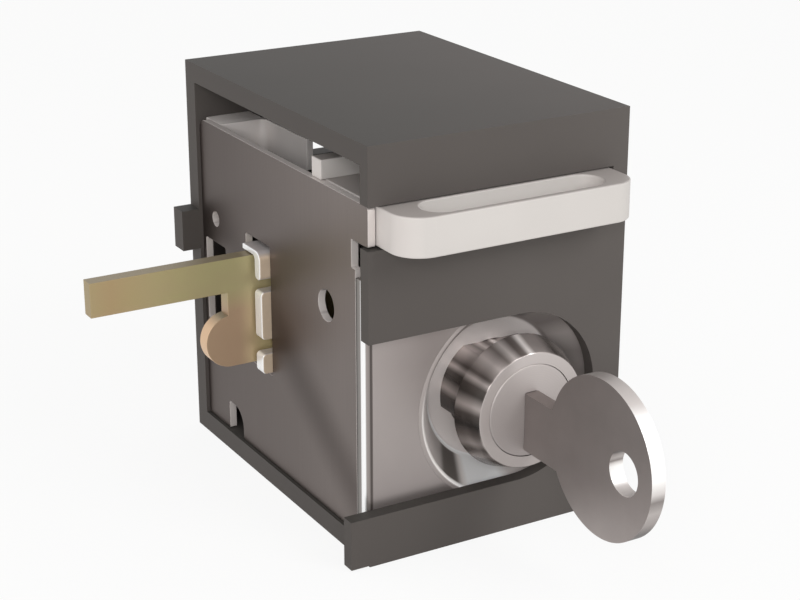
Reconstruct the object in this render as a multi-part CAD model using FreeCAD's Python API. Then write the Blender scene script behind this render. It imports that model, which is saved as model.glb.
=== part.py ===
"""Circuit breaker key lock: a moulded housing with a key cylinder that throws a bolt lever, and a padlock slider.

Millimetres. +X is to the right, +Y runs to the back and +Z is up. The origin is the centre of the housing's base.
The front wall faces -Y and the side that meets the breaker, at -X, is open.
"""
import FreeCAD
import Part

import math
import os

Vector = FreeCAD.Vector

# Housing
housing_width = 55.0
housing_depth = 75.6
housing_height = 80.0
front_wall = 2.8
back_wall = 4.2
top_wall = 3.9
bottom_wall = 4.1
right_wall = 2.5
front_tab_reach = 3.85
front_tab_lift = 0.3
back_tab_reach = 3.85
back_tab_low = 41.0
back_tab_high = 49.5
window_low = 10.0
window_high = 43.8
slider_gap_drop = 10.9
slider_gap_height = 8.0
slider_gap_end = 3.2
rear_window_drop = 8.0
rear_window_height = 14.7
rear_window_start = 22.0
rear_window_end = 8.0
rail_width = 4.0
rail_height = 2.4
rail_past_slider = 4.0

# Steel sheet parts
sheet = 1.5
sheet_bend = 1.5
side_inset = 0.75
seat_gap = 0.1
bracket_below_slider = 0.1
bracket_front = 6.1
tongue_front = 1.4
tongue_clear = 0.2
notch_back = 7.5
notch_above_plate = 1.0
bracket_flange = 11.0
flange_below_yoke = 2.4
aperture_before_lever = 3.7
aperture_behind_lever = 7.0
aperture_low = 23.4
aperture_high = 50.2
rear_slot_front = 60.7
rear_slot_back = 70.0
rear_slot_low = 26.0
rear_slot_high = 44.0
large_hole = 6.2
large_hole_back = 17.3
large_hole_up = 45.7
small_hole = 3.2
small_hole_back = 64.9
small_hole_up = 49.1
arch_back = 56.8
arch_width = 7.4
arch_top = 12.5
yoke_web_back = 64.4
yoke_cheek_right = 12.0
yoke_cheek_front = 43.2
yoke_height = 6.3
plate_top_share = 0.6474
plate_left_lip = 3.1

# Lock
lock_from_right = 22.9
lock_up = 25.9
cup_rim_radius = 18.7
cup_floor_radius = 14.1
cup_depth = 7.2
cup_bend = 0.8
barrel_face_radius = 11.36
barrel_root_radius = 12.6
barrel_flange_radius = 13.6
barrel_flange_thick = 2.6
barrel_reach = 4.0
barrel_body_radius = 9.4
barrel_length = 40.0
barrel_hole_clear = 0.15
plug_head_radius = 9.1
plug_head_thick = 1.8
plug_radius = 7.0
running_clear = 0.06
plug_tail_radius = 4.0
plug_tail_flats = 6.0
nut_flats = 24.0
nut_thick = 5.0
lock_washer_radius = 13.0
lock_washer_thick = 1.0
clip_radius = 8.6
clip_thick = 0.8
keyway_clear = 0.12
wafer_count = 5
wafer_thick = 1.0
wafer_pitch = 2.6
wafer_width = 6.2
wafer_height = 11.6
wafer_slot_clear = 0.12
first_wafer = 2.0
tail_screw_depth = 6.0

# Key
key_thick = 2.9
key_neck_height = 11.4
key_neck_drop = 1.95
key_bow_radius = 15.0
key_bow_reach = 23.6
key_hole = 8.2
key_hole_reach = 30.6
key_blade_height = 7.4
key_blade_thick = 2.2
key_blade_length = 23.0
key_cut_depth = 1.1
key_seat = 0.1

# Bolt lever and its drive
lever_thick = 3.5
lever_tip = -34.7
arm_low = 41.0
arm_high = 47.9
body_left = -7.8
body_low = 25.6
lobe_radius = 5.75
lobe_left = -13.2
slit_height = 3.9
lever_past_lock = 2.4
lever_corner = 2.5
crank_radius = 8.0
crank_turn = 90.0
crank_pin = 4.0
crank_slot_clear = 0.32
crank_slot_end_clear = 0.6
cam_clear = 2.3
cam_thick = 2.5
cam_gap = 3.2
cam_hub_radius = 6.5
cam_tip_radius = 3.4
cam_screw_head = 3.6
cam_screw_head_thick = 2.0
cam_screw_thread = 3.0
cam_screw_bite = 5.5
cam_washer_radius = 4.6
cam_washer_thick = 0.6
stud_from_lock = 12.6
guide_stud_up = 44.4
guide_stud = 4.0
guide_stud_clear = 0.08
stud_hole_depth = 8.0
stud_thread_length = 7.5
guide_head_radius = 3.6
guide_head_thick = 1.8
guide_pillar_radius = 4.5
lever_side_clear = 0.3

# Bright guide with three fingers in the lever's aperture
finger_front_clear = 0.2
finger_lever_clear = 0.3
finger_reach = 1.2
upper_finger_low = 43.6
middle_finger_high = 41.1
middle_finger_low = 31.2
lower_finger_high = 28.2
lower_finger_low = 24.0
finger_round = 0.9
hook_thick = 1.1
hook_lift = 0.9
hook_length = 5.4
guide_depth = 6.0
guide_foot_reach = 7.0
guide_foot_margin = 3.0
hook_step = 2.0

# Padlock slider
slider_play = 0.3
slider_thick = 7.4
slider_left = 1.3
slider_from_right = 3.7
slider_reach = 9.0
slider_shoulder = 1.1
slider_tail_left = 2.8
slider_length = 24.1
slider_left_round = 5.8
slider_right_round = 4.6
shackle_slot_left = 8.3
shackle_from_right = 9.0
shackle_slot_front = 7.7
shackle_slot_width = 7.5
upstand_thick = 4.2
upstand_rise = 3.9
upstand_from_right = 11.0
rail_clear = 0.25
pocket_side = 5.0
pocket_front = 3.0
pocket_roof = 2.5

# Fasteners
plate_screw = 3.0
plate_screw_head = 2.8
plate_screw_head_thick = 1.6
plate_screw_bite = 2.0
plate_screw_inset = 7.5
plate_screw_share = 0.38728
plate_screw_up_low = 7.4
back_screw_bite = 3.2
back_screw_right = 7.2
back_screw_low = 16.0
back_screw_below_top = 6.0
driver_slot = 0.8

# Places worked out from the sizes
left = -housing_width / 2
right = housing_width / 2
front = -housing_depth / 2
back = housing_depth / 2
front_inner = front + front_wall
back_inner = back - back_wall
right_inner = right - right_wall
slider_gap_high = housing_height - slider_gap_drop
slider_gap_low = slider_gap_high - slider_gap_height
rear_window_high = housing_height - rear_window_drop
rear_window_low = rear_window_high - rear_window_height
slider_low = slider_gap_low + slider_play
slider_high = slider_low + slider_thick
bracket_top = slider_high - bracket_below_slider
tongue_low = slider_gap_low + tongue_clear
yoke_low = bracket_top - yoke_height
bracket_flange_top = yoke_low - flange_below_yoke
back_screw_high = bracket_flange_top - back_screw_below_top
window_beam = slider_gap_low - window_high
plate_top = window_high + window_beam * plate_top_share
notch_low = plate_top + notch_above_plate
plate_screw_up_high = window_high + window_beam * plate_screw_share
lock_right = housing_width - lock_from_right
lever_right = lock_right + lever_past_lock
guide_stud_right = lock_right - stud_from_lock
slider_right = housing_width - slider_from_right
shackle_slot_right = housing_width - shackle_from_right
upstand_right = housing_width - upstand_from_right
lever_front = barrel_length - barrel_reach + cam_clear + cam_thick + cam_gap
aperture_front = lever_front - aperture_before_lever
aperture_back = lever_front + aperture_behind_lever
lock_x = left + lock_right
lock_z = lock_up
plate_front = front_inner
floor_front = plate_front + cup_depth
floor_back = floor_front + sheet
face_y = front - barrel_reach
barrel_end = face_y + barrel_length
side_outer = left + side_inset
side_inner = side_outer + sheet
lever_y0 = front + lever_front
lever_y1 = lever_y0 + lever_thick
cam_y1 = lever_y0 - cam_gap
cam_y0 = cam_y1 - cam_thick


def outline(points, radii, place):
    """A closed wire through flat points, each corner rounded to its radius; place(u, v) sets it in space."""
    corners = []
    for i, (u, v) in enumerate(points):
        here = Vector(u, v, 0)
        back_way = (Vector(*points[i - 1], 0) - here).normalize()
        next_way = (Vector(*points[(i + 1) % len(points)], 0) - here).normalize()
        if radii[i] == 0:
            corners.append((here, None, here))
            continue
        half = back_way.getAngle(next_way) / 2
        middle = (back_way + next_way).normalize()
        run = radii[i] / math.tan(half)
        top = here + middle * (radii[i] / math.sin(half) - radii[i])
        corners.append((here + back_way * run, top, here + next_way * run))
    edges = []
    for i, (start, top, end) in enumerate(corners):
        if top is not None:
            edges.append(Part.Arc(*[place(p.x, p.y) for p in (start, top, end)]).toShape())
        following = corners[(i + 1) % len(corners)][0]
        if following.distanceToPoint(end) > 1e-6:
            edges.append(Part.makeLine(place(end.x, end.y), place(following.x, following.y)))
    return Part.Wire(edges)


def plate(points, radii, normal, low, high):
    """A flat outline given thickness from low to high along the axis called normal."""
    places = {
        "X": (lambda u, v: Vector(low, u, v), Vector(high - low, 0, 0)),
        "Y": (lambda u, v: Vector(u, low, v), Vector(0, high - low, 0)),
        "Z": (lambda u, v: Vector(u, v, low), Vector(0, 0, high - low)),
    }
    place, way = places[normal]
    if not isinstance(radii, (list, tuple)):
        radii = [radii] * len(points)
    return Part.Face(outline(points, radii, place)).extrude(way)


def block(x0, x1, y0, y1, z0, z1):
    """A box between two corners."""
    return Part.makeBox(x1 - x0, y1 - y0, z1 - z0, Vector(x0, y0, z0))


def rod(radius, centre, low, high, normal):
    """A round bar along an axis; centre holds its two other coordinates."""
    u, v = centre
    bases = {"X": Vector(low, u, v), "Y": Vector(u, low, v), "Z": Vector(u, v, low)}
    ways = {"X": Vector(1, 0, 0), "Y": Vector(0, 1, 0), "Z": Vector(0, 0, 1)}
    return Part.makeCylinder(radius, high - low, bases[normal], ways[normal])


def turned(profile, radii=0):
    """A profile of (radius, y) points turned about the lock's axis."""
    if not isinstance(radii, (list, tuple)):
        radii = [radii] * len(profile)
    section = Part.Face(outline(profile, radii, lambda r, y: Vector(lock_x + r, y, lock_z)))
    return section.revolve(Vector(lock_x, 0, lock_z), Vector(0, 1, 0), 360)


def long_hole(u0, u1, v, width, normal, low, high):
    """A bar with round ends, width across, whose end centres are at u0 and u1."""
    r = width / 2
    points = [(u0 - r, v - r), (u1 + r, v - r), (u1 + r, v + r), (u0 - r, v + r)]
    return plate(points, r * 0.999, normal, low, high)


def pan_screw(radius, head_radius, head_thick, seat, length, centre, normal, sense):
    """A pan-head screw with a driver slot; its head stands off the seat, against sense."""
    def span(a, b):
        return min(a, b), max(a, b)
    head = rod(head_radius, centre, *span(seat, seat - sense * head_thick), normal)
    top = seat - sense * head_thick
    rim = [e for e in head.Edges if e.isClosed() and abs(getattr(e.CenterOfMass, normal.lower()) - top) < 1e-6]
    head = head.makeFillet(head_thick * 0.4, rim)
    shank = rod(radius, centre, *span(seat, seat + sense * length), normal)
    u, v = centre
    low, high = span(top, top + sense * head_thick * 0.45)
    if normal == "Y":
        slot = block(u - head_radius, u + head_radius, low, high, v - driver_slot / 2, v + driver_slot / 2)
    else:
        slot = block(low, high, u - head_radius, u + head_radius, v - driver_slot / 2, v + driver_slot / 2)
    return head.fuse(shank).cut(slot).removeSplitter()


def make_housing():
    """One moulding: top, base, back, front and right walls, open at the left."""
    shell = block(left, right, front, back, 0, housing_height)
    shell = shell.cut(block(left - 1, right_inner, front_inner, back_inner, bottom_wall, housing_height - top_wall))
    gap_right = right - slider_gap_end
    shell = shell.cut(block(left - 1, gap_right, front - 1, front_inner, slider_gap_low, slider_gap_high))
    window_radius = (window_high - window_low) / 2
    window = plate(
        [(left - 1, window_low), (lock_x + window_radius, window_low),
         (lock_x + window_radius, window_high), (left - 1, window_high)],
        [0, window_radius * 0.999, window_radius * 0.999, 0], "Y", front - 1, front_inner)
    shell = shell.cut(window)
    shell = shell.cut(block(left + rear_window_start, right - rear_window_end, back_inner - 1, back + 1,
                            rear_window_low, rear_window_high))
    front_tab = block(left - front_tab_reach, left, front, front_inner, front_tab_lift, window_low)
    back_tab = block(left - back_tab_reach, left, back_inner, back, back_tab_low, back_tab_high)
    shell = shell.fuse([front_tab, back_tab])
    rail_back = front + slider_length + rail_past_slider
    rail_top = slider_low - rail_clear
    rail = block(right_inner - rail_width, right_inner, front_inner, rail_back, rail_top - rail_height, rail_top)
    pillar = rod(guide_pillar_radius, (left + guide_stud_right, guide_stud_up),
                 lever_y1 + lever_side_clear, back_inner, "Y")
    shell = shell.fuse([rail, pillar])
    for x, z in plate_screw_places():
        shell = shell.cut(rod(plate_screw / 2, (x, z), front_inner - plate_screw_bite, front_inner, "Y"))
    for z in (back_screw_low, back_screw_high):
        shell = shell.cut(rod(plate_screw / 2, (left + back_screw_right, z),
                              back_inner, back_inner + back_screw_bite, "Y"))
    stud_hole = rod(guide_stud / 2 - 0.5, (left + guide_stud_right, guide_stud_up),
                    lever_y1 + lever_side_clear, lever_y1 + lever_side_clear + stud_hole_depth, "Y")
    return shell.cut(stud_hole).removeSplitter()


def plate_screw_places():
    """Where the three screws hold the lock plate to the front wall."""
    low = (left + plate_screw_inset, plate_screw_up_low)
    high_left = (left + plate_screw_inset, plate_screw_up_high)
    high_right = (right_inner - plate_screw_inset, plate_screw_up_high)
    return [low, high_left, high_right]


def make_side_bracket():
    """The steel side plate with its back flange, its tongue in the slider's gap and all its cut-outs."""
    low = bottom_wall + seat_gap
    y_front = front + tongue_front
    y_back = back_inner
    x0, x1 = side_outer, side_inner
    end = side_outer + bracket_flange
    bend_in = sheet_bend
    bend_out = sheet_bend + sheet
    section = [(x0, y_front), (x1, y_front), (x1, y_back - sheet), (end, y_back - sheet), (end, y_back),
               (x0, y_back)]
    body = plate(section, [0, 0, bend_in, 0, 0, bend_out], "Z", low, bracket_top)
    body = body.cut(block(x0 - 1, end + 1, y_back - bend_out, y_back + 1, bracket_flange_top, bracket_top + 1))
    body = body.fuse(block(x0, x1, y_back - bend_out, y_back, bracket_flange_top, bracket_top))
    body = body.cut(block(x0 - 1, x1 + 1, y_front - 1, front + bracket_front, low - 1, tongue_low))
    body = body.cut(block(x0 - 1, x1 + 1, y_front - 1, front + notch_back, notch_low, tongue_low))
    aperture = plate(
        [(front + aperture_front, aperture_low), (front + aperture_back, aperture_low),
         (front + aperture_back, aperture_high), (front + aperture_front, aperture_high)],
        0.5, "X", x0 - 1, x1 + 1)
    rear_slot = plate(
        [(front + rear_slot_front, rear_slot_low), (front + rear_slot_back, rear_slot_low),
         (front + rear_slot_back, rear_slot_high), (front + rear_slot_front, rear_slot_high)],
        0.5, "X", x0 - 1, x1 + 1)
    hole_a = rod(large_hole / 2, (front + large_hole_back, large_hole_up), x0 - 1, x1 + 1, "X")
    hole_b = rod(small_hole / 2, (front + small_hole_back, small_hole_up), x0 - 1, x1 + 1, "X")
    arch_y = front + arch_back
    arch = rod(arch_width / 2, (arch_y, arch_top - arch_width / 2), x0 - 1, x1 + 1, "X")
    arch_foot = block(x0 - 1, x1 + 1, arch_y - arch_width / 2, arch_y + arch_width / 2,
                      low - 1, arch_top - arch_width / 2)
    body = body.cut([aperture, rear_slot, hole_a, hole_b, arch, arch_foot])
    for z in (back_screw_low, back_screw_high):
        body = body.cut(rod(plate_screw / 2, (left + back_screw_right, z), y_back - sheet - 1, y_back + 1, "Y"))
    return body.removeSplitter()


def make_rear_yoke():
    """A folded strap behind the slider: web across the back, a cheek running forward and a tab on the back wall."""
    x0 = side_inner
    x1 = left + yoke_cheek_right + sheet
    y_web = front + yoke_web_back
    y_cheek = front + yoke_cheek_front
    bend_in = sheet_bend
    bend_out = sheet_bend + sheet
    section = [(x0, y_web), (x1 - sheet, y_web), (x1 - sheet, y_cheek), (x1, y_cheek), (x1, y_web + sheet),
               (x0, y_web + sheet)]
    strap = plate(section, [0, bend_in, 0, 0, bend_out, 0], "Z", yoke_low, bracket_top)
    tab_section = [(y_web, bracket_top), (back_inner, bracket_top), (back_inner, bracket_top - sheet),
                   (y_web, bracket_top - sheet)]
    tab = plate(tab_section, 0, "X", x0, x1 - sheet)
    return strap.fuse(tab).removeSplitter()


def make_lock_plate():
    """The steel front plate, with a rounded lip at the left and a drawn cup round the lock."""
    low = bottom_wall + seat_gap
    x0 = side_outer
    x1 = right_inner - seat_gap
    y0 = plate_front
    y1 = plate_front + sheet
    lip_end = front + bracket_front - 0.15
    bend_in = 0.4
    bend_out = plate_left_lip / 2
    section = [(x0, y0), (x1, y0), (x1, y1), (x0 + sheet, y1), (x0 + sheet, lip_end), (x0, lip_end)]
    body = plate(section, [bend_out, 0, 0, bend_in, 0, 0], "Z", low, plate_top)
    body = body.cut(block(x0 - 1, side_inner + seat_gap, y0 - 1, lip_end + 1, notch_low - 1.5, plate_top + 1))
    run = cup_rim_radius + 1.6
    body = body.cut(turned([(0, y0 - 1), (run, y0 - 1), (run, y1 + 1), (0, y1 + 1)]))
    hole = barrel_body_radius + barrel_hole_clear
    section = [
        (run, y0), (cup_rim_radius, y0), (cup_floor_radius, floor_front), (hole, floor_front),
        (hole, floor_back), (cup_floor_radius + 0.8, floor_back), (cup_rim_radius + 1.0, y1), (run, y1)]
    bends = [0, cup_bend, cup_bend, 0, 0, cup_bend, 0.4, 0]
    cup = turned(section, bends)
    body = body.fuse(cup)
    for x, z in plate_screw_places():
        body = body.cut(rod(plate_screw / 2, (x, z), y0 - 1, y1 + 1, "Y"))
    return body.removeSplitter()


def make_lever_guide():
    """A bright steel guide behind the aperture; three fingers stand in front of the lever and one hooks over it."""
    y0 = front + aperture_front + finger_front_clear
    y1 = lever_y0 - finger_lever_clear
    x0 = side_outer - finger_reach
    x1 = side_inner + guide_depth
    pieces = []
    for low, high in ((lower_finger_low, lower_finger_high), (middle_finger_low, middle_finger_high),
                      (upper_finger_low, aperture_high - hook_lift)):
        points = [(x0, low), (x1, low), (x1, high), (x0, high)]
        finger = plate(points, [finger_round, 0, 0, finger_round], "Y", y0, y1)
        pieces.append(finger)
    hook_low = arm_high + lever_side_clear
    hook_high = hook_low + hook_thick
    hook_section = [(y0, upper_finger_low + hook_step), (y0 + 1.2, upper_finger_low + hook_step), (y0 + 1.2, hook_low),
                    (y0 + hook_length + 1.2, hook_low), (y0 + hook_length + 1.2, hook_high), (y0, hook_high)]
    hook = plate(hook_section, [0, 0, 0.8, 0, 0, 1.4], "X", x0 - 1.2, x1)
    spine = block(side_inner + seat_gap, x1, y0, y1, lower_finger_low, hook_low)
    foot = block(side_inner, side_inner + sheet, y0 - guide_foot_reach, y1,
                 aperture_low - guide_foot_margin, aperture_high + guide_foot_margin)
    body = pieces[0].fuse([pieces[1], pieces[2], hook, spine, foot])
    return body.removeSplitter()


def make_lock_barrel():
    """The turned cylinder body: tapered nose, part flange on the cup's floor and a threaded shank."""
    bore = plug_radius + running_clear
    head = plug_head_radius + running_clear
    head_seat = face_y + plug_head_thick + running_clear
    profile = [
        (head, face_y), (barrel_face_radius, face_y), (barrel_root_radius, floor_front - barrel_flange_thick - 1.5),
        (barrel_root_radius, floor_front), (barrel_body_radius, floor_front), (barrel_body_radius, barrel_end),
        (bore, barrel_end), (bore, head_seat), (head, head_seat)]
    body = turned(profile, [0, 0.5, 0, 0, 0, 0.6, 0, 0, 0])
    flange = turned([(barrel_root_radius - 1, floor_front - barrel_flange_thick),
                     (barrel_flange_radius, floor_front - barrel_flange_thick),
                     (barrel_flange_radius, floor_front), (barrel_root_radius - 1, floor_front)])
    keep = block(lock_x - barrel_flange_radius, lock_x + barrel_flange_radius, floor_front - barrel_flange_thick,
                 floor_front, lock_z + 1.0, lock_z + barrel_root_radius)
    return body.fuse(flange.common(keep)).removeSplitter()


def blade_box(extra, y0, y1):
    """The key blade's section, grown by extra all round, from y0 to y1."""
    half_x = key_blade_thick / 2 + extra
    half_z = key_blade_height / 2 + extra
    return block(lock_x - half_x, lock_x + half_x, y0, y1, lock_z - half_z, lock_z + half_z)


def wafer_starts():
    """Where each wafer starts along the plug."""
    first = face_y + plug_head_thick + first_wafer
    return [first + i * wafer_pitch for i in range(wafer_count)]


def make_lock_plug():
    """The turning plug with its keyway, the slots for the wafers and a flatted tail for the cam."""
    body_end = barrel_end + clip_thick + 2 * running_clear
    tail_end = cam_y1 - 0.1
    profile = [
        (0, face_y), (plug_head_radius, face_y), (plug_head_radius, face_y + plug_head_thick),
        (plug_radius, face_y + plug_head_thick), (plug_radius, cam_y0 - 0.1), (plug_tail_radius, cam_y0 - 0.1),
        (plug_tail_radius, tail_end), (0, tail_end)]
    body = turned(profile, [0, 0.3, 0, 0, 0, 0, 0, 0])
    groove = turned([(plug_radius - 1.2, barrel_end + running_clear), (plug_radius + 1, barrel_end + running_clear),
                     (plug_radius + 1, body_end), (plug_radius - 1.2, body_end)])
    body = body.cut(groove)
    body = body.cut(blade_box(keyway_clear, face_y - 1, face_y + key_blade_length + 1.0))
    for y in wafer_starts():
        half = wafer_width / 2 + wafer_slot_clear
        body = body.cut(block(lock_x - half, lock_x + half, y - wafer_slot_clear, y + wafer_thick + wafer_slot_clear,
                              lock_z - plug_radius - 1, lock_z + plug_radius + 1))
    for side in (-1, 1):
        low = min(side * plug_tail_flats / 2, side * plug_radius)
        flat = block(lock_x + low, lock_x + low + plug_radius - plug_tail_flats / 2, cam_y0 - 0.1, tail_end + 1,
                     lock_z - plug_radius, lock_z + plug_radius)
        body = body.cut(flat)
    body = body.cut(rod(cam_screw_thread / 2, (lock_x, lock_z), tail_end - tail_screw_depth, tail_end + 1, "Y"))
    return body.removeSplitter()


def make_wafers():
    """Flat brass wafers with a window for the key, one in each slot of the plug."""
    solids = []
    for y in wafer_starts():
        half_x = wafer_width / 2
        half_z = wafer_height / 2
        outer = plate([(lock_x - half_x, lock_z - half_z), (lock_x + half_x, lock_z - half_z),
                       (lock_x + half_x, lock_z + half_z), (lock_x - half_x, lock_z + half_z)],
                      0.6, "Y", y, y + wafer_thick)
        solids.append(outer.cut(blade_box(keyway_clear * 1.5, y - 1, y + wafer_thick + 1)))
    return Part.makeCompound(solids)


def make_plug_clip():
    """The spring clip that holds the plug in the barrel."""
    y0 = barrel_end + running_clear
    inner = plug_radius - 1.2
    ring = turned([(inner, y0), (clip_radius, y0), (clip_radius, y0 + clip_thick), (inner, y0 + clip_thick)])
    mouth = block(lock_x - inner * 0.7, lock_x + inner * 0.7, y0 - 1, y0 + clip_thick + 1,
                  lock_z - clip_radius - 1, lock_z - inner * 0.6)
    return ring.cut(mouth)


def make_lock_washer():
    """A thin washer between the cup's floor and the nut."""
    bore = barrel_body_radius + barrel_hole_clear
    return turned([(bore, floor_back), (lock_washer_radius, floor_back),
                   (lock_washer_radius, floor_back + lock_washer_thick), (bore, floor_back + lock_washer_thick)])


def hexagon(flats):
    """Corners of a hexagon about the lock's axis, given its width across flats."""
    reach = flats / 2 / math.cos(math.radians(30))
    return [(lock_x + reach * math.cos(math.radians(a)), lock_z + reach * math.sin(math.radians(a)))
            for a in range(0, 360, 60)]


def make_lock_nut():
    """The hexagon nut that clamps the barrel in the cup's floor."""
    y0 = floor_back + lock_washer_thick
    y1 = y0 + nut_thick
    nut = plate(hexagon(nut_flats), 0, "Y", y0, y1)
    corner = nut_flats / 2 / math.cos(math.radians(30))
    chamfered = turned([(0, y0), (corner + 0.1, y0), (corner + 0.1, y1 - 1.2), (nut_flats / 2 - 0.3, y1), (0, y1)])
    bore = rod(barrel_body_radius, (lock_x, lock_z), y0 - 1, y1 + 1, "Y")
    return nut.common(chamfered).cut(bore)


def crank_centre():
    """The crank pin's place at rest, half the turn to the left of straight up."""
    angle = math.radians(90 + crank_turn / 2)
    return lock_x + crank_radius * math.cos(angle), lock_z + crank_radius * math.sin(angle)


def make_drive_cam():
    """The cam on the plug's tail: a hub with an arm that carries the crank pin."""
    px, pz = crank_centre()
    hub = rod(cam_hub_radius, (lock_x, lock_z), cam_y0, cam_y1, "Y")
    tip = rod(cam_tip_radius, (px, pz), cam_y0, cam_y1, "Y")
    angle = math.atan2(pz - lock_z, px - lock_x)
    lean = math.acos((cam_hub_radius - cam_tip_radius) / crank_radius)
    points = []
    for side in (1, -1):
        points.append((lock_x + cam_hub_radius * math.cos(angle + side * lean),
                       lock_z + cam_hub_radius * math.sin(angle + side * lean)))
    for side in (-1, 1):
        points.append((px + cam_tip_radius * math.cos(angle + side * lean),
                       pz + cam_tip_radius * math.sin(angle + side * lean)))
    web = plate(points, 0, "Y", cam_y0, cam_y1)
    body = hub.fuse([tip, web])
    hole = rod(plug_tail_radius + 0.05, (lock_x, lock_z), cam_y0 - 1, cam_y1 + 1, "Y")
    half = plug_tail_flats / 2 + 0.05
    flats = block(lock_x - half, lock_x + half, cam_y0 - 1, cam_y1 + 1,
                  lock_z - cam_hub_radius, lock_z + cam_hub_radius)
    body = body.cut(hole.common(flats))
    return body.cut(rod(crank_pin / 2 - 0.5, (px, pz), cam_y0 - 1, cam_y1 + 1, "Y")).removeSplitter()


def make_crank_pin():
    """A shouldered pin riveted in the cam; its head end runs in the lever's upright slot."""
    centre = crank_centre()
    pin = rod(crank_pin / 2, centre, cam_y1, lever_y1 + 0.8, "Y")
    spigot = rod(crank_pin / 2 - 0.5, centre, cam_y0, cam_y1, "Y")
    return pin.fuse(spigot).removeSplitter()


def make_cam_screw():
    """The screw that holds the cam on the plug's tail."""
    seat = cam_y1
    top = seat + cam_washer_thick + cam_screw_head_thick
    head = rod(cam_screw_head, (lock_x, lock_z), seat + cam_washer_thick, top, "Y")
    thread = rod(cam_screw_thread / 2, (lock_x, lock_z), cam_y1 - cam_screw_bite, seat + cam_washer_thick, "Y")
    slot = block(lock_x - cam_screw_head, lock_x + cam_screw_head, top - 0.9, top + 1,
                 lock_z - driver_slot / 2, lock_z + driver_slot / 2)
    return head.fuse(thread).cut(slot).removeSplitter()


def make_cam_washer():
    """The washer under the cam screw's head."""
    ring = rod(cam_washer_radius, (lock_x, lock_z), cam_y1, cam_y1 + cam_washer_thick, "Y")
    return ring.cut(rod(cam_screw_thread / 2 + 0.05, (lock_x, lock_z), cam_y1 - 1,
                        cam_y1 + cam_washer_thick + 1, "Y"))


def make_key():
    """A flat steel key: round bow with its ring hole, neck that stops on the plug, and a notched blade."""
    x0 = lock_x - key_thick / 2
    x1 = lock_x + key_thick / 2
    stop = face_y - key_seat
    bow_y = face_y - key_bow_reach
    neck_mid = lock_z - key_neck_drop
    neck_low = neck_mid - key_neck_height / 2
    neck_high = neck_mid + key_neck_height / 2
    bow = rod(key_bow_radius, (bow_y, lock_z), x0, x1, "X")
    neck = block(x0, x1, bow_y, stop, neck_low, neck_high)
    body = bow.fuse(neck)
    body = body.cut(rod(key_hole / 2, (face_y - key_hole_reach, lock_z), x0 - 1, x1 + 1, "X"))
    blade_end = face_y + key_blade_length
    half = key_blade_height / 2
    low, high = lock_z - half, lock_z + half
    bx0 = lock_x - key_blade_thick / 2
    bx1 = lock_x + key_blade_thick / 2
    blade = plate([(bow_y, low), (blade_end - half * 0.6, low), (blade_end, lock_z - 1), (blade_end, lock_z + 1),
                   (blade_end - half * 0.6, high), (bow_y, high)], 0, "X", bx0, bx1)
    for i, y in enumerate(wafer_starts()):
        middle = y + wafer_thick / 2
        depth = key_cut_depth * (0.5 + 0.5 * ((i * 2) % 3) / 2)
        edge, sense = (high, -1) if i % 2 else (low, 1)
        notch = plate([(middle - wafer_pitch * 0.45, edge - sense * 0.1), (middle + wafer_pitch * 0.45, edge - sense * 0.1),
                       (middle + 0.4, edge + sense * depth), (middle - 0.4, edge + sense * depth)],
                      0, "X", bx0 - 1, bx1 + 1)
        blade = blade.cut(notch)
    return body.fuse(blade).removeSplitter()


def make_bolt_lever():
    """The yellow steel bolt lever: a long arm above a deep body with a round lobe."""
    x_tip = left + lever_tip
    x_body = left + body_left
    x_right = left + lever_right
    lobe_x = left + lobe_left + lobe_radius
    lobe_z = body_low + lobe_radius
    slit_low = arm_low - slit_height
    points = [(x_tip, arm_low), (x_body, arm_low), (x_body, body_low), (x_right, body_low),
              (x_right, arm_high), (x_tip, arm_high)]
    body = plate(points, [0, 0, 0, lever_corner, lever_corner, 0], "Y", lever_y0, lever_y1)
    lobe = rod(lobe_radius, (lobe_x, lobe_z), lever_y0, lever_y1, "Y")
    bridge = block(lobe_x, x_body + 1, lever_y0, lever_y1, body_low, slit_low)
    body = body.fuse([lobe, bridge])
    travel = 2 * crank_radius * math.sin(math.radians(crank_turn / 2))
    stud_x = left + guide_stud_right
    guide_slot = long_hole(stud_x - travel - 0.3, stud_x + 0.3, guide_stud_up, guide_stud + 2 * guide_stud_clear, "Y",
                           lever_y0 - 1, lever_y1 + 1)
    px, pz = crank_centre()
    half = crank_pin / 2 + crank_slot_clear
    crank_low = pz - crank_pin / 2 - crank_slot_end_clear
    crank_high = lock_z + crank_radius + crank_pin / 2 + crank_slot_end_clear
    crank_slot = plate([(px - half, crank_low), (px + half, crank_low), (px + half, crank_high), (px - half, crank_high)],
                       half * 0.9, "Y", lever_y0 - 1, lever_y1 + 1)
    return body.cut([guide_slot, crank_slot]).removeSplitter()


def make_guide_stud():
    """The shouldered screw in the housing's pillar; the lever slides on it."""
    centre = (left + guide_stud_right, guide_stud_up)
    seat = lever_y1 + lever_side_clear
    head_y = lever_y0 - lever_side_clear
    shoulder = rod(guide_stud / 2, centre, head_y, seat, "Y")
    thread = rod(guide_stud / 2 - 0.5, centre, seat, seat + stud_thread_length, "Y")
    head = rod(guide_head_radius, centre, head_y - guide_head_thick, head_y, "Y")
    slot = block(centre[0] - guide_head_radius, centre[0] + guide_head_radius, head_y - guide_head_thick - 1,
                 head_y - guide_head_thick + 0.8, centre[1] - driver_slot / 2, centre[1] + driver_slot / 2)
    return shoulder.fuse([thread, head]).cut(slot).removeSplitter()


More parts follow.
